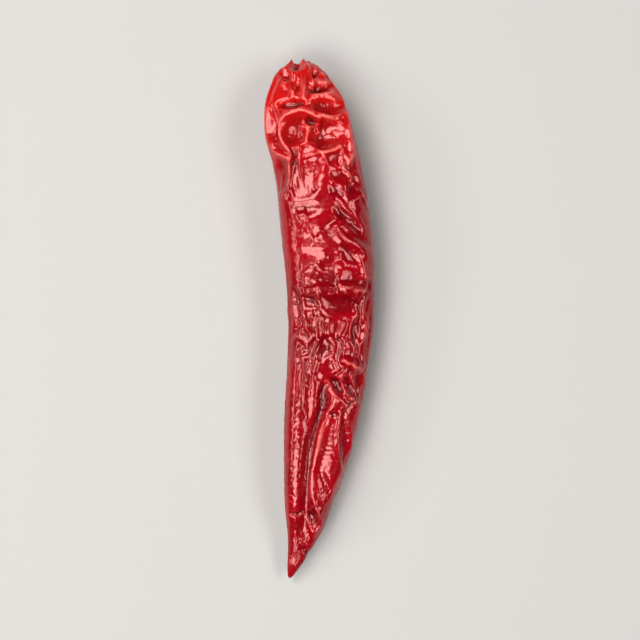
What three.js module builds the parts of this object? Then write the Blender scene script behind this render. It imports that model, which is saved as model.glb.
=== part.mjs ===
// A dried red chilli pod without its stem, lying on its belly. Millimetres, +Z up.
// The pod runs along Y, with its mouth, where the stem came away, at +Y and its tip at -Y.
// It grew as one piece, so it is one solid: a turned pod that is bent, flattened and dried into folds.
import * as THREE from "three";

// Driving dimensions.
const LENGTH = 82; // tip to mouth
const REACH = 7.4; // half the width at the widest place
const FLATNESS = 0.76; // thickness over width, once the pod has collapsed in drying
const WAIST_AT = 44; // distance from the tip to where the pod lies lowest
const MOUTH_LIFT = 3.4; // the mouth's underside over the surface
const TIP_LIFT = 2.2; // the tip's underside over the surface
const SETTLED = 0.4; // the belly's skin pressed flat where it rests
const RINGS = 74; // along the pod
const SIDES = 38; // around it

// Half the width along the pod: [distance from the tip, share of REACH].
const OUTLINE = [
  [0.0, 0.0],
  [0.6, 0.07],
  [3.0, 0.19],
  [6.5, 0.33],
  [13.0, 0.56],
  [23.5, 0.77],
  [35.0, 0.92],
  [50.0, 1.0],
  [61.0, 0.99],
  [69.0, 0.94],
  [74.5, 0.8],
  [78.5, 0.56],
  [80.8, 0.36],
  [82.0, 0.22],
];

// The axis's place across, seen from above: [distance from the tip, offset towards +X in mm].
const AXIS = [
  [0, -6.7],
  [8, -4.2],
  [23.5, -1.4],
  [43, 0],
  [60, -1.3],
  [72, -3.7],
  [82, -5.1],
];

// The mouth's inside, a shallow puckered pit: [depth under the rim, share of REACH].
const PIT = [
  [0.4, 0.16],
  [1.8, 0.1],
  [2.6, 0.0],
];

// Dents that the skin dried into. Along is the distance from the tip. Around is degrees from the
// crown, positive towards +X. Long and wide are half extents in mm and degrees, deep is in mm.
const DENTS = [
  { name: "collar window", along: 68.5, around: -6, long: 2.6, wide: 32, deep: 1.7 },
  { name: "throat", along: 75, around: 4, long: 2.2, wide: 26, deep: 1.2 },
  { name: "crown flat", along: 61, around: -14, long: 4.5, wide: 30, deep: 0.7 },
  { name: "right shoulder", along: 56, around: 52, long: 6.0, wide: 13, deep: 1.0 },
  { name: "left flank", along: 49, around: -72, long: 13, wide: 13, deep: 0.8 },
  { name: "upper waist", along: 46, around: 10, long: 1.5, wide: 36, deep: 0.6 },
  { name: "waist", along: 38, around: 8, long: 1.6, wide: 42, deep: 0.9 },
  { name: "long furrow", along: 20, around: 4, long: 11, wide: 12, deep: 1.6 },
  { name: "tip furrow", along: 12, around: 52, long: 7, wide: 13, deep: 1.1 },
  { name: "right flank", along: 24, around: 86, long: 10, wide: 14, deep: 1.0 },
  { name: "lower left furrow", along: 17, around: -58, long: 9, wide: 13, deep: 0.9 },
  { name: "belly furrow, left", along: 30, around: -140, long: 16, wide: 12, deep: 1.0 },
  { name: "belly furrow, right", along: 52, around: 138, long: 13, wide: 13, deep: 1.0 },
];

const PLEATS = 9; // folds gathered round the mouth
const PLEAT_DEPTH = 0.16; // share of the radius at the rim
const PLEAT_FADE = 9; // distance over which they die out

// The pod before drying: a closed profile turned about Y, from the tip over the rim into the pit.
function turnedPod() {
  const skin = OUTLINE.map(([along, share]) => new THREE.Vector2(share * REACH, along));
  const inside = PIT.map(([depth, share]) => new THREE.Vector2(share * REACH, LENGTH - depth));
  const skinRings = new THREE.SplineCurve(skin).getPoints(RINGS);
  skinRings[0].x = 0;
  return new THREE.LatheGeometry([...skinRings, ...inside], SIDES);
}

const bell = (distance, extent) => Math.exp(-((distance / extent) ** 2));

// The shorter way round between two angles, in degrees.
const turnBetween = (a, b) => THREE.MathUtils.euclideanModulo(a - b + 180, 360) - 180;

// How far the skin sinks in at a place, in mm.
function dentDepth(along, around) {
  return DENTS.reduce(
    (sum, dent) =>
      sum + dent.deep * bell(along - dent.along, dent.long) * bell(turnBetween(around, dent.around), dent.wide),
    0,
  );
}

// How far the underside rises towards the mouth and the tip.
function lift(along) {
  const toMouth = Math.max(0, along - WAIST_AT) / (LENGTH - WAIST_AT);
  const toTip = Math.max(0, WAIST_AT - along) / WAIST_AT;
  return MOUTH_LIFT * toMouth ** 3 + TIP_LIFT * toTip ** 3;
}

// Reads a smooth curve through [along, value] pairs: gives the value at a distance from the tip.
function curveReader(pairs) {
  const samples = new THREE.SplineCurve(pairs.map(([along, value]) => new THREE.Vector2(value, along)))
    .getPoints(4 * RINGS);
  const last = samples.length - 1;
  return (along) => {
    const next = samples.findIndex((sample) => sample.y >= along);
    if (next <= 0) return samples[next === 0 ? 0 : last].x;
    const [before, after] = [samples[next - 1], samples[next]];
    return THREE.MathUtils.mapLinear(along, before.y, after.y, before.x, after.x);
  };
}

const halfWidthAt = curveReader(OUTLINE.map(([along, share]) => [along, share * REACH]));
const axisAt = curveReader(AXIS);

// Moves one point of the turned pod to its dried place.
function dry(point) {
  const along = point.y;
  const radius = Math.hypot(point.x, point.z);
  const around = THREE.MathUtils.radToDeg(Math.atan2(point.x, point.z));
  const nearMouth = Math.max(0, 1 - (LENGTH - along) / PLEAT_FADE) ** 2;
  const pleat = 1 + PLEAT_DEPTH * nearMouth * Math.cos(THREE.MathUtils.degToRad(PLEATS * around));
  const dried = Math.max(0, radius * pleat - dentDepth(along, around) * (radius / REACH));
  const share = radius > 0 ? dried / radius : 0;
  const axisHeight = FLATNESS * halfWidthAt(along) - SETTLED + lift(along);
  point.set(
    point.x * share + axisAt(along),
    along,
    Math.max(0, axisHeight + point.z * share * FLATNESS),
  );
}

function driedPod() {
  const geometry = turnedPod();
  const places = geometry.getAttribute("position");
  const point = new THREE.Vector3();
  for (let i = 0; i < places.count; i++) {
    point.fromBufferAttribute(places, i);
    dry(point);
    places.setXYZ(i, point.x, point.y, point.z);
  }
  // The origin is the middle of the box's underside.
  geometry.computeBoundingBox();
  const middle = geometry.boundingBox.getCenter(new THREE.Vector3());
  geometry.translate(-middle.x, -middle.y, 0);
  geometry.computeVertexNormals();
  return geometry;
}

const driedSkin = new THREE.MeshStandardMaterial({ color: 0x9c0a14, roughness: 0.32, metalness: 0 });

const pod = new THREE.Mesh(driedPod(), driedSkin);
pod.name = "chilli_pod";

const chilli = new THREE.Group();
chilli.add(pod);

export default chilli;
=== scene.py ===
"""A dried red chilli pod, lying on its belly and seen from straight above.

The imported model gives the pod's place and size. The looks are one skin, worked out as a grid of rings: the
grown pod is a rounded section carried along a bowed axis, the folds that drying left on its crown are laid on
it one by one, those of its sides and belly are strewn, and a small shell simulation then crumples the skin a
little more, as a skin does that is too large for what is left of its flesh.
"""

import math

import bpy
import numpy as np
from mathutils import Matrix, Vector


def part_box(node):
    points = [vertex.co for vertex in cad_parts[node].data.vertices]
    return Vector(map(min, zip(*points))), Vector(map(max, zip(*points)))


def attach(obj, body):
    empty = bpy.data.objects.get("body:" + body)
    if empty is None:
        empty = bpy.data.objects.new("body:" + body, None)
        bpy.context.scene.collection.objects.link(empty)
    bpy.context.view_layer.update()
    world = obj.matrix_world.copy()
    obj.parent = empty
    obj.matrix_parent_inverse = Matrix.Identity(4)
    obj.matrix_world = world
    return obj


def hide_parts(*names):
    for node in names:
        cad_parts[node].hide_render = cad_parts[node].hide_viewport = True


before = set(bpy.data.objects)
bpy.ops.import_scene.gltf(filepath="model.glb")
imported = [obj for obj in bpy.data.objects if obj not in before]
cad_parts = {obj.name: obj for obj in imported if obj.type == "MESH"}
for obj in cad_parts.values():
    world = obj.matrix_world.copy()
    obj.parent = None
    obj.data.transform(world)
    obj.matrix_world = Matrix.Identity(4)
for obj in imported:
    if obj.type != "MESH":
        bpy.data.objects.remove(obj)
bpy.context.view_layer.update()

NODE = "chilli_pod"
POD_LOW, POD_HIGH = (np.array(corner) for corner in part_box(NODE))
POD_LENGTH = 82.0  # mm, of the outline below
MM = (POD_HIGH[1] - POD_LOW[1]) / POD_LENGTH  # metres in one of the outline's millimetres
RNG = np.random.default_rng(seed=5)

# ---------------------------------------------------------------- the grown pod, in mm

REACH = 7.4  # half the width at the widest place
FLATNESS = 0.76  # thickness over width
WAIST_AT = 44.0  # distance from the tip to where the pod lies lowest
MOUTH_LIFT = 3.4  # of the mouth's underside
TIP_LIFT = 2.2  # of the tip's underside
SETTLED = 0.4  # the belly's skin pressed flat
START_RINGS = 119  # of the coarsest grid, which is doubled twice
START_SIDES = 50
CROWN_SHARE = 0.35  # how much closer than on average the columns stand on the crown
OUTLINE_SAMPLES = 4000
AXIS_SAMPLES = 2000

# Half the width along the pod: distance from the tip, share of REACH.
OUTLINE = [
    (0.0, 0.0),
    (0.6, 0.07),
    (3.0, 0.19),
    (6.5, 0.33),
    (13.0, 0.56),
    (23.5, 0.77),
    (35.0, 0.92),
    (50.0, 1.0),
    (61.0, 0.99),
    (69.0, 0.94),
    (74.5, 0.8),
    (78.5, 0.56),
    (80.8, 0.36),
    (82.0, 0.22),
]

# The axis's place across, seen from above: distance from the tip, offset towards +X.
AXIS = [(0.0, -6.7), (8.0, -4.2), (23.5, -1.4), (43.0, 0.0), (60.0, -1.3), (72.0, -3.7), (82.0, -5.1)]

# The section's power: 2 is an ellipse, more is boxier. Distance from the tip, power.
BOXINESS = [(0, 2.0), (8, 2.4), (16, 2.8), (30, 2.7), (38, 2.3), (57, 2.4), (62, 2.6), (70, 2.3), (82, 2.0)]


def spline(points, count):
    """A Catmull-Rom curve through points, sampled evenly in its own parameter."""
    points = np.array(points, float)
    last = len(points) - 1
    where = np.linspace(0, last, count)
    start = np.minimum(where.astype(int), last - 1)
    share = (where - start)[:, None]
    before, here = points[np.maximum(start - 1, 0)], points[start]
    there, after = points[start + 1], points[np.minimum(start + 2, last)]
    leave, arrive = (there - before) / 2, (after - here) / 2
    return (
        (2 * here - 2 * there + leave + arrive) * share**3
        + (-3 * here + 3 * there - 2 * leave - arrive) * share**2
        + leave * share
        + here
    )


def ring_places(count):
    """Distance from the tip and half width of count rings, evenly spaced along the skin."""
    curve = spline(OUTLINE, OUTLINE_SAMPLES) * (1.0, REACH)
    curve[:, 1] = np.maximum(curve[:, 1], 0)
    run = np.r_[0, np.cumsum(np.hypot(*np.diff(curve, axis=0).T))]
    even = np.linspace(0, run[-1], count + 1)[1:]
    return np.interp(even, run, curve[:, 0]), np.interp(even, run, curve[:, 1])


def axis_across(along):
    """The axis's offset in X, read from a curve through AXIS."""
    curve = spline(AXIS, AXIS_SAMPLES)
    return np.interp(along, curve[:, 0], curve[:, 1])


def lift(along):
    """How far the underside rises towards the mouth and the tip, as cubes of the way there."""
    to_mouth = np.clip((along - WAIST_AT) / (POD_LENGTH - WAIST_AT), 0, None)
    to_tip = np.clip((WAIST_AT - along) / WAIST_AT, 0, None)
    return MOUTH_LIFT * to_mouth**3 + TIP_LIFT * to_tip**3


def grown_pod(rings, sides):
    """The pod before it dries, as rings x sides x 3: superellipses round the bowed axis, with the columns'
    angle drawn in towards the crown by a sine, so that they stand closer there."""
    along, reach = ring_places(rings)
    turn = np.linspace(-np.pi, np.pi, sides, endpoint=False)
    around = turn - CROWN_SHARE * np.sin(turn)
    power = 2 / np.interp(along, *np.transpose(BOXINESS))[:, None]
    out = np.abs(np.sin(around)) ** power * np.sign(np.sin(around))
    up = np.abs(np.cos(around)) ** power * np.sign(np.cos(around))
    x = reach[:, None] * out + axis_across(along)[:, None]
    y = np.repeat(along[:, None], sides, 1)
    z = FLATNESS * reach[:, None] * (1 + up) - SETTLED + lift(along)[:, None]
    return np.stack([x, y, z], 2), along, reach, around


def unit_normals(p):
    """Outward unit normals of a ring grid, from its two directions."""
    down = np.gradient(p, axis=0)
    across = np.roll(p, -1, 1) - np.roll(p, 1, 1)
    n = np.cross(across, down)
    return n / np.maximum(np.linalg.norm(n, axis=2, keepdims=True), 1e-9)


# ---------------------------------------------------------------- the folds, in mm

# The crown's folds are placed as seen from above. Hollows: across towards +X, distance from the tip, half
# length, half width, degrees that the length is turned from the pod's own direction towards +X, depth.
HOLLOWS = [
    # round the mouth
    (-7.3, 78.9, 1.3, 1.0, -30, 0.7),
    (-5.8, 77.4, 1.5, 0.8, -10, 0.6),
    (-1.7, 76.8, 1.9, 0.9, 80, 0.9),
    (-2.3, 79.2, 0.9, 0.5, 40, 0.6),
    (-0.4, 74.0, 2.7, 1.3, 95, 1.0),
    (-6.4, 74.4, 2.2, 0.9, 85, 0.9),
    # the window under the collar
    (-5.4, 70.0, 2.6, 2.1, 20, 1.3),
    (-1.0, 69.6, 3.4, 2.5, 85, 1.9),
    (-3.0, 71.6, 1.5, 0.9, 100, 1.5),
    (-9.1, 71.5, 2.8, 0.9, -5, 0.7),
    # the right shoulder's pockets
    (0.8, 66.0, 1.5, 1.3, 70, 0.4),
    (1.6, 63.4, 1.7, 1.2, 100, 0.4),
    (0.9, 60.9, 1.0, 1.3, 60, 0.35),
    (3.7, 61.8, 1.8, 0.9, 10, 0.3),
    (-2.8, 61.3, 0.7, 0.5, 60, 0.3),
    (-3.0, 65.2, 0.6, 1.6, 5, 0.3),
    (-8.2, 63.3, 3.0, 1.2, 5, 0.6),
    (-4.2, 65.0, 6.0, 2.8, 5, 0.8),
    # the smooth stretch
    (2.6, 56.6, 2.9, 1.1, 130, 0.6),
    (3.3, 51.0, 2.4, 1.6, 140, 0.5),
    (-3.9, 58.3, 1.2, 2.2, 0, 0.35),
    (-3.6, 52.8, 1.4, 2.6, 10, 0.2),
    (-0.6, 48.0, 1.6, 3.0, 0, 0.35),
    (3.3, 47.9, 1.5, 2.1, -10, 0.4),
    # the waist
    (2.2, 43.2, 1.5, 3.2, 5, 0.55),
    (-3.5, 43.9, 1.1, 1.6, 10, 0.4),
    (-1.2, 36.6, 1.7, 1.5, 20, 0.45),
    (4.6, 39.3, 2.2, 1.3, 15, 0.6),
    (3.2, 30.6, 2.3, 1.0, -35, 0.9),
    (1.0, 30.9, 1.7, 1.0, -40, 0.8),
    (4.9, 30.2, 2.4, 1.1, -10, 0.7),
    (-5.6, 43.5, 2.4, 0.9, -8, 0.4),
    # the tail
    (1.0, 13.0, 6.0, 1.5, 28, 0.4),
    (2.4, 21.5, 4.5, 1.0, -2, 0.7),
    (0.4, 26.3, 0.7, 0.9, 0, 0.4),
    (-0.8, 14.8, 2.6, 1.0, -14, 0.4),
    (-2.9, 9.9, 1.6, 0.9, -12, 0.8),
    (-3.9, 4.4, 2.6, 0.7, -40, 0.4),
]

# Broad lumps that stay proud: the same numbers as a hollow's, with the height last.
BULGES = [
    (3.5, 57.6, 3.4, 1.4, 25, 0.3),
    (3.3, 52.9, 3.2, 1.1, 125, 0.4),
    (-2.0, 45.6, 1.2, 1.3, 0, 0.3),
    (3.5, 45.4, 0.9, 2.2, 10, 0.3),
    (3.4, 34.2, 1.4, 2.3, 15, 0.6),
    (-6.2, 22.0, 14.0, 2.2, 1, 0.8),
    (0.4, 18.0, 9.0, 1.7, 14, 0.5),
    (0.6, 27.6, 2.2, 1.8, 20, 0.4),
    (-5.4, 15.0, 7.0, 1.0, 0, 0.3),
]

# Crests: height, half width, then points of across and distance from the tip.
CRESTS = [
    (0.8, 1, [(-3, 81.8), (-1, 80.1), (0.7, 77.2), (1.75, 74.3), (2.5, 70.7), (3.1, 67.7), (3.1, 64.6)]),
    (
        0.7,
        1,
        [
            (-6.9, 81.6), (-8.7, 79), (-9.9, 75.2), (-10.1, 71), (-9.2, 67.8), (-7.6, 66.2),
            (-5.6, 65.8),
        ],
    ),
    (
        0.7,
        0.9,
        [
            (-5.8, 66.1), (-7.3, 67.7), (-8.05, 70.2), (-7.4, 72.3), (-4.9, 73.3), (-3.2, 72.8),
            (-2.5, 72.1), (-1.4, 72.5), (1.75, 71.7),
        ],
    ),
    (0.5, 1, [(-5.8, 66.1), (-3.8, 66.4), (-0.7, 67.2), (2.1, 68.5)]),
    (0.6, 0.7, [(-5.2, 71), (-3.9, 70.5), (-2.6, 69.8), (-1.3, 70.6)]),
    (0.8, 0.9, [(-4.1, 81.2), (-4.1, 77.5), (-4.5, 74.5)]),
    (0.5, 0.8, [(-4.5, 74.5), (-2.9, 75.5), (-1.4, 76), (0.6, 76)]),
    (0.4, 0.8, [(-4.5, 74.5), (-5.4, 75.2), (-6.4, 76)]),
    (0.5, 0.8, [(-4, 77.4), (-2.4, 78.1), (-0.7, 77.8), (0.4, 77.2)]),
    (0.6, 0.6, [(-5.9, 80.8), (-6.7, 78.9), (-7.9, 76.6)]),
    (0.6, 0.6, [(-5, 80.9), (-5.5, 78.2), (-6.2, 75.6)]),
    (0.6, 0.6, [(-3.3, 81.5), (-2.4, 79.9), (-0.9, 78.5)]),
    (0.5, 0.6, [(-3.6, 81), (-3.1, 78.5), (-2.6, 76.9)]),
    (0.4, 1, [(0.3, 56.3), (2.2, 53.4), (4.8, 50.2), (5.6, 46.8)]),
    (0.3, 1, [(1.5, 58.6), (3.2, 59.6), (5.3, 60.6)]),
    (0.4, 0.8, [(0.9, 46.3), (3, 46.4), (5.6, 45.2)]),
    (0.5, 0.7, [(1.45, 32.9), (2.6, 31.2), (3.7, 28.4)]),
    (0.4, 0.8, [(-0.6, 30.6), (1.2, 29), (3, 27.5)]),
    (
        0.5,
        0.9,
        [
            (-1.2, 25.5), (-2.3, 20.4), (-3.1, 17), (-3.2, 14.6), (-2.6, 12.4), (-1.8, 10.6), (-1.8, 9),
            (-2.6, 7.7), (-3.7, 7.1),
        ],
    ),
]

# Furrows: depth, half width, then points of across and distance from the tip.
FURROWS = [
    (
        0.65,
        0.95,
        [
            (-1, 32.5), (-1.4, 27.6), (-2.3, 24.7), (-3.1, 21.8), (-3.8, 18), (-4.1, 13.1), (-4.3, 9.5),
            (-4.8, 5.5),
        ],
    ),
    (0.3, 0.3, [(-6.6, 10.9), (-5.4, 10.8), (-4.6, 11.1)]),
]

# Short folds, most of them round the waist's dent: height, then across and distance from the tip, twice.
STREAKS = [
    (0.30, -1.6, 38.0, -2.0, 41.8),
    (0.19, -0.4, 38.2, -0.3, 41.2),
    (0.30, 1.0, 38.0, 2.5, 41.0),
    (0.19, 1.6, 37.5, 4.0, 39.0),
    (0.19, 1.7, 36.8, 4.4, 36.7),
    (0.26, -3.4, 36.8, -6.1, 39.0),
    (0.22, -2.8, 37.7, -4.6, 40.6),
    (0.22, -2.9, 35.7, -5.2, 35.0),
    (0.26, -2.1, 35.1, -3.0, 32.6),
    (0.26, 1.2, 35.4, 5.4, 33.2),
    (0.19, 0.3, 34.9, 1.3, 32.7),
    (0.22, -2.1, 43.0, -2.2, 46.6),
    (0.15, 0.1, 44.4, 0.1, 46.4),
    (0.19, -3.8, 44.4, -3.9, 46.2),
    (0.19, 2.2, 44.6, 2.4, 46.4),
    (0.19, 3.9, 43.8, 4.1, 46.0),
    (0.19, -4.4, 41.2, -5.6, 43.4),
    (0.19, -5.5, 57.0, -3.9, 57.7),
    (0.19, -3.2, 54.0, -1.2, 55.0),
    (0.19, -2.6, 49.8, -0.4, 50.8),
    (0.19, 1.4, 49.8, 1.5, 51.6),
]

STREAK_WIDTH = 0.55
ROUND_TOP = 0.15  # of a crest, across it
PATH_SAMPLES = 5  # for each of a crest's or furrow's points
PATH_ENDS = 0.12  # share of a crest's or furrow's length over which it fades in and out
STREAK_ENDS = 0.3
HOLLOW_EDGE = 9.0  # per mm: the higher, the sharper the crest between two hollows that meet
BULGE_EDGE = 4.0
SIDE_EDGE = 6.0
SLENDER = 3.6  # where the pod's half width is less, its crown's folds are shallower in proportion

SIDE_FOLDS = 70  # strewn over the flanks and the belly
SIDE_MARGIN = 3.0  # no side fold's middle is closer to the tip or the lip
SIDE_LONG = (3.5, 9.0)  # half length, least and most
SIDE_WIDE = (1.4, 2.6)
SIDE_DEEP = (0.6, 1.4)
SIDE_LEAN = 12  # degrees off the pod's direction, as a standard deviation


def smooth_step(value):
    """0 below 0, 1 above 1 and an s-curve between."""
    t = np.clip(value, 0, 1)
    return t * t * (3 - 2 * t)


def hollow_depth(x, y, hollows, edge):
    """How deep the skin lies in hollows that are paraboloids, each 0 at its own edge. The deepest wins, by
    the logarithm of summed exponentials, so two hollows that meet leave a crest with a narrow round top. A
    hollow counts for nothing where its paraboloid has risen a millimetre over its edge."""
    total = np.ones_like(x)
    for cx, cy, long, wide, turn, deep in hollows:
        lean = math.radians(turn)
        u = (x - cx) * math.sin(lean) + (y - cy) * math.cos(lean)
        v = (x - cx) * math.cos(lean) - (y - cy) * math.sin(lean)
        bowl = deep * (1 - (u / long) ** 2 - (v / wide) ** 2)
        total += np.exp(edge * np.maximum(bowl, -1.0)) - np.exp(-edge)
    return np.log(total) / edge


def along_path(x, y, points):
    """The distance from each place to a curve through points, and how far along the curve it is, 0 to 1."""
    curve = spline(points, PATH_SAMPLES * len(points))
    nearest = np.full(x.shape, np.inf)
    share = np.zeros(x.shape)
    spans = len(curve) - 1
    for k in range(spans):
        start, step = curve[k], curve[k + 1] - curve[k]
        t = np.clip(((x - start[0]) * step[0] + (y - start[1]) * step[1]) / (step @ step), 0, 1)
        away = np.hypot(x - start[0] - t * step[0], y - start[1] - t * step[1])
        closer = away < nearest
        nearest = np.where(closer, away, nearest)
        share = np.where(closer, (k + t) / spans, share)
    return nearest, share


def crest_profile(away, wide):
    """1 on the line, falling off as an exponential on both sides, its top rounded."""
    return np.exp(-(np.sqrt(away**2 + ROUND_TOP**2) - ROUND_TOP) / wide)


def furrow_profile(away, wide):
    """1 on the line, falling off as a bell on both sides."""
    return np.exp(-((away / wide) ** 2))


def path_fade(share, ends):
    """Fades a crest or furrow in and out at its two ends, by s-curves."""
    return smooth_step(share / ends) * smooth_step((1 - share) / ends)


def side_folds():
    """Long shallow hollows strewn over the flanks and the belly, as hollow_depth takes them, on the skin laid
    flat: across is the arc from the crown. Most lie nearly along the pod."""
    folds = []
    for _ in range(SIDE_FOLDS):
        across = RNG.uniform(-1, 1) * math.pi * REACH
        along = RNG.uniform(SIDE_MARGIN, POD_LENGTH - SIDE_MARGIN)
        half_long = RNG.uniform(*SIDE_LONG)
        half_wide = RNG.uniform(*SIDE_WIDE)
        lean = RNG.normal(0, SIDE_LEAN)
        folds.append((across, along, half_long, half_wide, lean, RNG.uniform(*SIDE_DEEP)))
    return folds


SIDE_HOLLOWS = side_folds()


def flank_relief(along, around):
    """The height of the flanks' and belly's folds: the strewn hollows, read on the skin laid flat."""
    return -hollow_depth(around * REACH, along, SIDE_HOLLOWS, SIDE_EDGE)


def crown_relief(x, y):
    """The height of the crown's folds over the grown skin: bulges, less hollows and furrows, plus the short
    folds and the crests. Crests that meet don't add up: they are joined by the fourth root of summed fourth
    powers."""
    height = hollow_depth(x, y, BULGES, BULGE_EDGE) - hollow_depth(x, y, HOLLOWS, HOLLOW_EDGE)
    crests = 0
    for high, wide, points in CRESTS:
        away, share = along_path(x, y, points)
        crests = crests + (high * crest_profile(away, wide) * path_fade(share, PATH_ENDS)) ** 4
    height += crests**0.25
    for deep, wide, points in FURROWS:
        away, share = along_path(x, y, points)
        height -= deep * furrow_profile(away, wide) * path_fade(share, PATH_ENDS)
    for high, *ends in STREAKS:
        away, share = along_path(x, y, [ends[:2], ends[2:]])
        height += high * crest_profile(away, STREAK_WIDTH) * path_fade(share, STREAK_ENDS)
    return height


# The cosine of the angle from the crown: its folds end where this is below CROWN_END and are whole
# CROWN_BLEND further up.
CROWN_END = -0.1
CROWN_BLEND = 0.4
SIDE_STOP = 4.0  # from the lip, where the side folds end
SIDE_STOP_FADE = 6.0
PAST_LIP = 0.3  # the folds would reach 0 this far past the lip
TIP_FADE = 3.0  # from the tip, over which folds and crumples rise
FOLD_LIP_FADE = 1.2
CRUMPLE_LIP_FADE = 3.0


def between_ends(along, lip_fade):
    """0 at the tip and just past the lip and 1 between, by an s-curve at each end."""
    return smooth_step(np.minimum(along / TIP_FADE, (POD_LENGTH + PAST_LIP - along) / lip_fade))


def folded_pod(rings, sides):
    """The pod with its folds laid on and nothing crumpled: the grown pod moved out along its normals by the
    crown's relief, which blends into the flanks' past the crown's edge."""
    base, along, reach, around = grown_pod(rings, sides)
    crown = smooth_step((np.cos(around) - CROWN_END) / CROWN_BLEND)[None, :]
    height = crown_relief(base[..., 0], base[..., 1]) * crown * np.minimum(reach / SLENDER, 1)[:, None]
    flank = flank_relief(*np.meshgrid(along, around, indexing="ij"))
    height += flank * (1 - crown) * smooth_step((POD_LENGTH - SIDE_STOP - along) / SIDE_STOP_FADE)[:, None]
    ends = between_ends(along, FOLD_LIP_FADE)[:, None]
    return base + unit_normals(base) * (height * ends)[..., None], along, around


# ---------------------------------------------------------------- drying

# How much too long and too wide the skin is for the pod, and how strongly it is drawn in, by distance from
# the tip.
GROWN_AT = [0, 8, 20, 32, 38, 44, 48, 58, 64, 70, 76, 82]
GROWN_LONGER = [0.0, 0.0, 0.0, 0.02, 0.05, 0.04, 0.01, 0.0, 0.02, 0.06, 0.05, 0.03]
GROWN_WIDER = [0.02, 0.03, 0.025, 0.03, 0.03, 0.02, 0.005, 0.005, 0.015, 0.04, 0.06, 0.07]
GROWN_SUNK = [0.1, 0.4, 0.6, 0.9, 1.1, 0.8, 0.4, 0.4, 0.7, 0.8, 0.3, 0.1]
SINK = 0.0025  # the inward pull where GROWN_SUNK is 1
FLANK_SINK = 0.3  # share of it at the flanks, whole on the crown and the belly
HOLD = 0.003  # the spring that holds the skin to its folds, per mm
PROUD = 0.05  # mm, past which it is held firmly
FIRM_HOLD = 0.2
PULL_SHARE = 0.16  # of an edge's error that one step puts right
CARRY = 0.9  # share of a point's last move that it keeps
START_NOISE = 0.08  # mm

# The three grids, from coarse to fine: share of the growth above, resistance to bending, steps.
LEVELS = [(0.8, 0.35, 500), (0.85, 0.35, 300), (0.9, 0.3, 130)]

# The skin's own fine creases: waves along the pod, waves around it, height in mm.
WRINKLES = [(60, 18, 0.022), (110, 34, 0.012)]
WRINKLE_SPREAD = 0.35  # of the number of waves, as a share


def neighbour_mean(q):
    """Each point's four neighbours' mean, less the point. The end rings count themselves as neighbours."""
    padded = np.concatenate([q[:1], q, q[-1:]])
    return (padded[2:] + padded[:-2] + np.roll(q, 1, 1) + np.roll(q, -1, 1)) / 4 - q


def edges_of(q):
    """The grid's four families of edges: along, around and both diagonals."""
    beside = np.roll(q, -1, 1)
    return q[1:] - q[:-1], beside - q, beside[1:] - q[:-1], q[1:] - beside[:-1]


def crumple(shape, offset, steps, longer, wider, bend, sink, fade):
    """Buckles a skin that has grown longer along the pod and wider around it than the shape it lies on.
    Every edge pulls or pushes towards its grown length, the bilaplacian of the offset resists bending, and a
    weak spring along the shape's normal holds the skin to it, a firm one where it stands more than PROUD
    out. A steady pull of sink draws the skin in. Points carry a share of their last move on."""
    shape, offset, longer, wider, sink = (
        values.astype(np.float32) for values in (shape, offset, longer, wider, sink)
    )
    fade = fade.astype(np.float32)[..., None]
    normal = unit_normals(shape).astype(np.float32)
    slanted = (longer + wider) / 2
    grown = (longer[1:], wider, slanted[1:], slanted[1:])
    rests = [np.linalg.norm(edge, axis=2) * share for edge, share in zip(edges_of(shape), grown)]
    last = offset
    for _ in range(steps):
        pulls = []
        for edge, rest in zip(edges_of(shape + offset), rests):
            length = np.sqrt(np.einsum("ijk,ijk->ij", edge, edge))
            pulls.append(edge * (PULL_SHARE * (1 - rest / np.maximum(length, 1e-6)))[..., None])
        along_pull, around_pull, rising_pull, falling_pull = pulls
        push = around_pull - np.roll(around_pull, 1, 1)
        push[:-1] += along_pull + rising_pull + np.roll(falling_pull, 1, 1)
        push[1:] -= along_pull + np.roll(rising_pull, 1, 1) + falling_pull
        push -= bend * neighbour_mean(neighbour_mean(offset))
        out = np.einsum("ijk,ijk->ij", offset, normal)
        push -= (HOLD * out + sink + FIRM_HOLD * np.maximum(out - PROUD, 0))[..., None] * normal
        moved = (offset + push + CARRY * (offset - last)) * fade
        last, offset = offset, moved
    return offset


def finer(p):
    """A ring grid at twice as many rings and columns, the new ones by cubic means of their neighbours."""
    rings = np.empty((2 * len(p) - 1, *p.shape[1:]), p.dtype)
    rings[::2] = p
    padded = np.concatenate([2 * p[:1] - p[1:2], p, 2 * p[-1:] - p[-2:-1]])
    rings[1::2] = (9 * (p[1:] + p[:-1]) - padded[:-3] - padded[3:]) / 16
    out = np.empty((len(rings), 2 * p.shape[1], *p.shape[2:]), p.dtype)
    out[:, ::2] = rings
    after = np.roll(rings, -1, 1)
    out[:, 1::2] = (9 * (rings + after) - np.roll(rings, 1, 1) - np.roll(rings, -2, 1)) / 16
    return out


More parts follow.
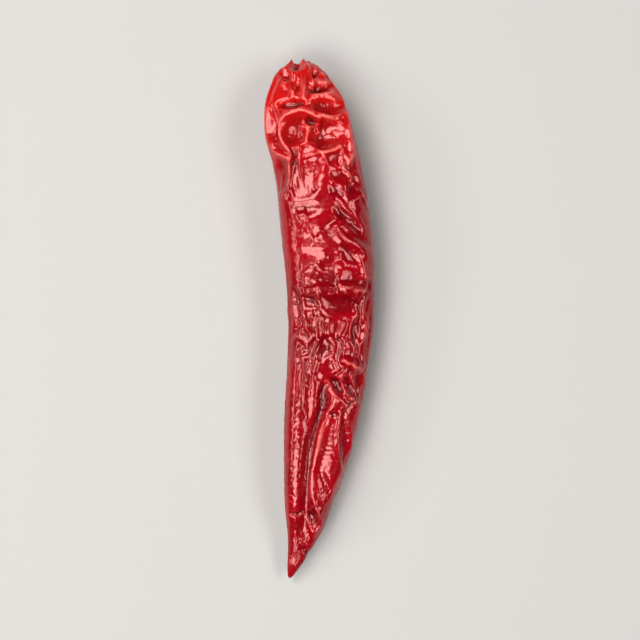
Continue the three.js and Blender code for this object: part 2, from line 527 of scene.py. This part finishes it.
def crumpled_pod():
    """The folded pod's skin, crumpled on a coarse grid first and then on two finer ones, each of which
    starts from the last one's offset."""
    rings, sides = START_RINGS, START_SIDES
    offset = None
    for growth, bend, steps in LEVELS:
        if offset is not None:
            offset = finer(offset)
            rings, sides = offset.shape[:2]
        shape, along, around = folded_pod(rings, sides)
        whole_ring = np.ones((1, sides))
        fade = between_ends(along, CRUMPLE_LIP_FADE)[:, None] * whole_ring
        if offset is None:
            noise = RNG.normal(0, START_NOISE, (rings, sides))
            offset = unit_normals(shape) * (noise * fade)[..., None]
        flattened = FLANK_SINK + (1 - FLANK_SINK) * np.cos(around) ** 2
        sink = SINK * np.interp(along, GROWN_AT, GROWN_SUNK)[:, None] * flattened[None, :]
        longer = 1 + growth * np.interp(along, GROWN_AT, GROWN_LONGER)[:, None] * whole_ring
        wider = 1 + growth * np.interp(along, GROWN_AT, GROWN_WIDER)[:, None] * whole_ring
        offset = crumple(shape, offset, steps, longer, wider, bend, sink, fade)
    return shape + offset, along, around, fade


def band_noise(shape, waves_along, waves_around):
    """Smooth noise on the ring grid, made of waves near one number of them along and one around: white noise
    with its spectrum kept inside a soft ring. Its size is about 1."""
    white = np.fft.rfft2(RNG.normal(size=shape))
    along = np.fft.fftfreq(shape[0], 1 / shape[0])[:, None] / waves_along
    around = np.fft.rfftfreq(shape[1], 1 / shape[1])[None, :] / waves_around
    kept = np.exp(-(((np.hypot(along, around) - 1) / WRINKLE_SPREAD) ** 2))
    noise = np.fft.irfft2(white * kept, shape)
    return noise / noise.std()


def fine_wrinkles(shape):
    """The height of the fine creases, in mm: bands of noise, folded at zero so that they stand as ridges."""
    return sum(high * (1 - np.abs(band_noise(shape, *waves))) for *waves, high in WRINKLES)


# ---------------------------------------------------------------- the mouth, in mm

LIP_NOTCH = (-20, 20, 1.5)  # in the upper lip: degrees from the crown, half width in degrees, depth
LIP_PEAKS = [(-50, 14, 0.5), (30, 16, 0.5), (75, 14, 0.3), (150, 20, 0.4), (-120, 22, 0.3)]
LIP_DROP = 0.5  # the rim as a whole, under the outline's end
LIP_FADE = 3.0  # below the rim, over which its raggedness dies out
GATHERS = 13
GATHER_DEPTH = 0.2  # share of the radius
GATHER_AT_SIDE = 0.4  # share of that depth at the sides, whole on the crown and the belly
GATHER_FADE = 9.0
GATHER_DRIFTS = [(2, 1.3), (5, 0.9)]  # waves that crowd and spread the gathers: number, radians
PIT_RINGS = 16
PIT_DEPTH = 3.4
PIT_CURVE = 1.3  # the power by which it deepens
PIT_NARROWS = 0.5  # share of the rim's radius lost by the pit's floor
TURN_OVER = 4  # the lip turns over in the first of this many parts of the pit
TURN_IN = 0.16  # share of the radius
TURN_DOWN = 0.16


def bell_round(around, place, width):
    """A bell on the circle, of angles in degrees."""
    gap = (np.degrees(around) - place + 180) % 360 - 180
    return np.exp(-((gap / width) ** 2))


def gathered(p, along, around):
    """Draws the mouth's end together: the radius is pinched by the absolute sine of an uneven angle, dying
    out below the rim, and the rim itself is moved along the pod by its notch and peaks, so it is ragged."""
    near = smooth_step(1 - (POD_LENGTH - along) / GATHER_FADE)[:, None]
    phase = GATHERS * around
    for waves, drift in GATHER_DRIFTS:
        phase = phase + drift * np.sin(waves * around)
    wave = -np.abs(np.sin(phase / 2))[None, :]
    upright = (GATHER_AT_SIDE + (1 - GATHER_AT_SIDE) * np.cos(around) ** 2)[None, :]
    middle = p.mean(1, keepdims=True)
    out = (p - middle) * (1 + GATHER_DEPTH * near * wave * upright)[..., None] + middle
    ragged = -LIP_NOTCH[2] * bell_round(around, *LIP_NOTCH[:2])
    for place, width, high in LIP_PEAKS:
        ragged = ragged + high * bell_round(around, place, width)
    ragged = ragged - LIP_DROP
    rim = smooth_step(1 - (POD_LENGTH - along) / LIP_FADE)[:, None]
    out[..., 1] += rim * ragged[None, :]
    return out


def pit_rings(rim):
    """The skin's inner side past the rim: rings that turn over the lip by a quarter circle and then run down
    into the pod as they close."""
    t = np.linspace(0, 1, PIT_RINGS + 1)[1:, None, None]
    turned = np.minimum(t * TURN_OVER, 1) * np.pi / 2
    middle = rim.mean(0)
    size = 1 - TURN_IN * np.sin(turned) - PIT_NARROWS * smooth_step(t) * t
    rings = middle + (rim - middle) * size
    down = -TURN_DOWN * (1 - np.cos(turned)) - PIT_DEPTH * t**PIT_CURVE
    rings[..., 1] += down[..., 0]
    return rings


def dried_pod():
    """The whole skin as one ring grid, from the tip over the rim into the pit, nowhere under the surface it
    lies on."""
    p, along, around, fade = crumpled_pod()
    p += unit_normals(p) * (fine_wrinkles(p.shape[:2]) * fade)[..., None]
    p = gathered(p, along, around)
    p = np.concatenate([p, pit_rings(p[-1])])
    p[..., 2] = np.maximum(p[..., 2], 0)
    return p


# ---------------------------------------------------------------- the mesh

# What counts as fully proud or sunk, in mm, and how many neighbour means blur the skin that it is measured
# from: for sharp crests and for broad swells.
CREST_HEIGHT, CREST_BLURS = 0.22, 10
SWELL_HEIGHT, SWELL_BLURS = 0.6, 60


def placed(p):
    """From the outline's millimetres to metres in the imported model's frame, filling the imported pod's box."""
    low, high = p.reshape(-1, 3).min(0), p.reshape(-1, 3).max(0)
    share = (p - low) / (high - low)
    return POD_LOW + share * (POD_HIGH - POD_LOW)


def skin_mesh(name, p):
    """Closes a ring grid into one mesh, with a point at each end."""
    rings, sides = p.shape[:2]
    points = np.vstack([p.reshape(-1, 3), p[0].mean(0), p[-1].mean(0)])
    i, j = np.meshgrid(np.arange(rings - 1), np.arange(sides), indexing="ij")
    k = (j + 1) % sides
    corners = [i * sides + j, i * sides + k, (i + 1) * sides + k, (i + 1) * sides + j]
    quads = np.stack(corners, 2).reshape(-1, 4)
    j = np.arange(sides)
    k = (j + 1) % sides
    foot, head, top = rings * sides, rings * sides + 1, (rings - 1) * sides
    tips = np.stack([np.full(sides, foot), k, j], 1)
    mouths = np.stack([np.full(sides, head), top + j, top + k], 1)
    mesh = bpy.data.meshes.new(name)
    mesh.from_pydata(points.tolist(), [], [*quads.tolist(), *tips.tolist(), *mouths.tolist()])
    mesh.polygons.foreach_set("use_smooth", np.ones(len(mesh.polygons), bool))
    mesh.update()
    piece = bpy.data.objects.new(name, mesh)
    bpy.context.scene.collection.objects.link(piece)
    return piece


def relief_of(p, blurs):
    """How proud each point stands of its surroundings, in mm: its offset from the surface blurred by repeated
    neighbour means, along the normal."""
    smooth = p.copy()
    for _ in range(blurs):
        smooth += neighbour_mean(smooth)
    return np.einsum("ijk,ijk->ij", p - smooth, unit_normals(p))


def with_values(piece, name, values):
    """Stores one number a point on the piece's mesh, for its material to read. The two end points take 0."""
    layer = piece.data.attributes.new(name, "FLOAT", "POINT")
    layer.data.foreach_set("value", np.append(values.ravel(), [0, 0]).astype(np.float32))


p = dried_pod()
pod = skin_mesh("dried_pod", placed(p))
inside = np.zeros(p.shape[:2])
inside[-PIT_RINGS:] = np.linspace(0, 1, PIT_RINGS)[:, None]
with_values(pod, "crest", np.clip(relief_of(p, CREST_BLURS) / CREST_HEIGHT, -1, 1))
with_values(pod, "swell", np.clip(relief_of(p, SWELL_BLURS) / SWELL_HEIGHT, -1, 1))
with_values(pod, "from_tip", np.clip(p[..., 1] / POD_LENGTH, 0, 1))
with_values(pod, "inside", inside)

# ---------------------------------------------------------------- the skin's material

PER_MM = 1 / MM  # noise scales are per metre of Object coordinates

# The skin's patterns: name, size of a patch in mm, detail, roughness of the detail.
PATTERNS = [
    ("patches", 7.0, 3.0, 0.5),  # uneven ripening
    ("mottle", 0.9, 4.0, 0.65),  # flesh dried on to the skin's inner side
    ("grain", 0.32, 3.0, 0.5),  # the skin's cells, drawn coarser than they are so that they show
]

# The skin's colours, each laid over the last: what it follows, that value where it starts and where it is
# full, the most that it covers, its colour.
FLESH = "76000a"
LAYERS = [
    ("patches", 0.35, 0.65, 1.0, "90000f"),  # riper patches
    ("mottle", 0.45, 0.75, 0.35, "5c0007"),  # flesh stuck to the inner side
    ("swell", 0.0, -0.7, 0.8, "500006"),  # painted shade darkening the broad valleys
    ("from_tip", 0.74, 0.92, 0.7, "c0140e"),  # the paler end by the mouth
    ("crest", -0.1, -0.8, 0.8, "440005"),  # painted shade darkening the sharp valleys
    ("crest", 0.4, 1.0, 0.65, "e86c62"),  # sharp crests, paler where the skin is rubbed thin and partly a painted highlight on their tops
    ("inside", 0.2, 0.7, 1.0, "2c0002"),  # painted shade darkening the mouth's pit
]
ROUGHNESS = (0.13, 0.25)  # the waxy film's, least and most
FILM = (0.44, 0.66)  # the mottle between which it goes from one to the other
IOR = 1.5  # of a waxy plant skin
GLOSS = 0.9
GLOSS_TINT = "ffb4b0"  # the highlights take on a little of the skin's red
GLOW = 0.12  # weight of the light that spreads inside the skin
GLOW_DEPTH = 0.8  # mm, in red
GLOW_SPREAD = (1.0, 0.12, 0.08)  # of that depth, by colour
BUMPS = [("grain", 0.5, 0.015), ("mottle", 0.6, 0.045)]  # pattern, strength, depth in mm
MIX_FACTOR, MIX_UNDER, MIX_OVER, MIX_RESULT = 0, 6, 7, 2  # a colour mix's sockets


def linear(code):
    """An sRGB hex value as linear red, green, blue and 1."""
    parts = [int(code[k : k + 2], 16) / 255 for k in (0, 2, 4)]
    return (*[c / 12.92 if c <= 0.04045 else ((c + 0.055) / 1.055) ** 2.4 for c in parts], 1.0)


def add(tree, kind, settings=None, links=None):
    """Adds one node, sets its properties (named in lower case) and its inputs' values, and links inputs from
    other nodes' outputs."""
    node = tree.nodes.new(kind)
    for key, value in (settings or {}).items():
        if isinstance(key, str) and hasattr(node, key) and not key[0].isupper():
            setattr(node, key, value)
        else:
            node.inputs[key].default_value = value
    for key, (source, output) in (links or {}).items():
        tree.links.new(source.outputs[output], node.inputs[key])
    return node


def dried_skin():
    """Capsicum skin dried in the sun: a thin waxy film over deep red flesh. It is glossy with the gloss
    broken up where flesh has stuck to it, and more orange round the mouth. Painted shade darkens its valleys
    and the mouth's pit; its sharp crests are paler where the skin is rubbed thin, and partly by a painted
    highlight."""
    skin = bpy.data.materials.new("dried_skin")
    skin.use_nodes = True
    tree = skin.node_tree
    shader = tree.nodes["Principled BSDF"]
    where = (add(tree, "ShaderNodeTexCoord"), "Object")
    reads = {}
    for name in ("crest", "swell", "from_tip", "inside"):
        reads[name] = (add(tree, "ShaderNodeAttribute", {"attribute_name": name}), "Fac")
    for name, size, detail, roughness in PATTERNS:
        settings = {"Scale": PER_MM / size, "Detail": detail, "Roughness": roughness}
        reads[name] = (add(tree, "ShaderNodeTexNoise", settings, {"Vector": where}), "Fac")

    under = {"settings": {MIX_UNDER: linear(FLESH)}, "links": {}}
    for name, starts_at, full_at, most, colour in LAYERS:
        bounds = {"From Min": starts_at, "From Max": full_at, "To Max": most}
        cover = add(tree, "ShaderNodeMapRange", bounds, {"Value": reads[name]})
        settings = {"data_type": "RGBA", MIX_OVER: linear(colour), **under["settings"]}
        layer = add(tree, "ShaderNodeMix", settings, {MIX_FACTOR: (cover, "Result"), **under["links"]})
        under = {"settings": {}, "links": {MIX_UNDER: (layer, MIX_RESULT)}}
    tree.links.new(layer.outputs[MIX_RESULT], shader.inputs["Base Color"])

    dull = {"From Min": FILM[0], "From Max": FILM[1], "To Min": ROUGHNESS[0], "To Max": ROUGHNESS[1]}
    film = add(tree, "ShaderNodeMapRange", dull, {"Value": reads["mottle"]})
    tree.links.new(film.outputs["Result"], shader.inputs["Roughness"])
    shader.inputs["IOR"].default_value = IOR
    shader.inputs["Specular IOR Level"].default_value = GLOSS
    shader.inputs["Specular Tint"].default_value = linear(GLOSS_TINT)
    shader.inputs["Subsurface Weight"].default_value = GLOW
    shader.inputs["Subsurface Radius"].default_value = GLOW_SPREAD
    shader.inputs["Subsurface Scale"].default_value = GLOW_DEPTH * MM

    normal = {}
    for name, strength, depth in BUMPS:
        settings = {"Strength": strength, "Distance": depth * MM}
        bump = add(tree, "ShaderNodeBump", settings, {"Height": reads[name], **normal})
        normal = {"Normal": (bump, "Normal")}
    tree.links.new(bump.outputs["Normal"], shader.inputs["Normal"])
    return skin


pod.data.materials.append(dried_skin())

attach(pod, "root")
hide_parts(NODE)

# ---------------------------------------------------------------- studio, in metres

FLOOR_REACH = 2.0  # from the middle to each side
FLOOR_COLOUR = "a8a5a2"
FLOOR_ROUGHNESS = 0.9
ROOM_LIGHT = 0.05

# Two keys stand left of the camera, one towards the tip and one towards the mouth. The pod's middle, which
# lies level, mirrors the gap between them. The levels are in watts per steradian and square metre.
KEY_ACROSS = -0.19
KEY_HEIGHT = 0.46
KEY_LONG = 0.30
KEY_WIDE = 0.26
KEY_LEVEL = 10.2
TIP_GAP = 0.095
MOUTH_GAP = 0.06
SIDE_LEVEL = 6.8

# Name, place, length, width, level.
SOFTBOXES = [
    ("key_tip", (KEY_ACROSS, -TIP_GAP - KEY_LONG / 2, KEY_HEIGHT), KEY_LONG, KEY_WIDE, KEY_LEVEL),
    ("key_mouth", (KEY_ACROSS, MOUTH_GAP + KEY_LONG / 2, KEY_HEIGHT), KEY_LONG, KEY_WIDE, KEY_LEVEL),
    ("right", (0.32, 0.0, 0.36), 0.40, 0.16, SIDE_LEVEL),
    ("left", (-0.40, 0.0, 0.24), 0.30, 0.10, SIDE_LEVEL),
]

LENS = 85.0  # mm, as is the sensor
SENSOR = 36.0
FILL = 0.80  # share of the view's height that the pod takes


def paper_floor():
    """A pale matt sheet of backing paper under the pod."""
    corners = [(x * FLOOR_REACH, y * FLOOR_REACH, 0) for x, y in ((-1, -1), (1, -1), (1, 1), (-1, 1))]
    mesh = bpy.data.meshes.new("floor")
    mesh.from_pydata(corners, [], [(0, 1, 2, 3)])
    sheet = bpy.data.objects.new("floor", mesh)
    bpy.context.scene.collection.objects.link(sheet)
    paper = bpy.data.materials.new("floor_paper")
    paper.use_nodes = True
    shader = paper.node_tree.nodes["Principled BSDF"]
    shader.inputs["Base Color"].default_value = linear(FLOOR_COLOUR)
    shader.inputs["Roughness"].default_value = FLOOR_ROUGHNESS
    mesh.materials.append(paper)
    return sheet


def softbox(name, place, long, wide, level):
    """A soft light at place, aimed at the pod with its length kept horizontal, and as bright as its level
    whatever its size."""
    light = bpy.data.lights.new(name, "AREA")
    light.shape = "RECTANGLE"
    light.size = long
    light.size_y = wide
    light.energy = level * math.pi * long * wide
    lamp = bpy.data.objects.new(name, light)
    bpy.context.scene.collection.objects.link(lamp)
    lamp.location = place
    lamp.visible_camera = False
    lamp.rotation_mode = "QUATERNION"
    lamp.rotation_quaternion = (-Vector(place)).to_track_quat("-Z", "Y")


def camera_above():
    """A camera straight above the pod, high enough that the pod takes FILL of the view's height."""
    camera_data = bpy.data.cameras.new("camera")
    camera_data.lens = LENS
    camera_data.sensor_width = SENSOR
    camera = bpy.data.objects.new("camera", camera_data)
    bpy.context.scene.collection.objects.link(camera)
    camera.location = (0, 0, (POD_HIGH[1] - POD_LOW[1]) / FILL * LENS / SENSOR)
    return camera


floor = paper_floor()

world = bpy.data.worlds.new("studio")
bpy.context.scene.world = world
world.use_nodes = True
world.node_tree.nodes["Background"].inputs["Color"].default_value = (1, 1, 1, 1)
world.node_tree.nodes["Background"].inputs["Strength"].default_value = ROOM_LIGHT

for box in SOFTBOXES:
    softbox(*box)

bpy.context.scene.camera = camera_above()
bpy.context.scene.view_settings.view_transform = "Standard"
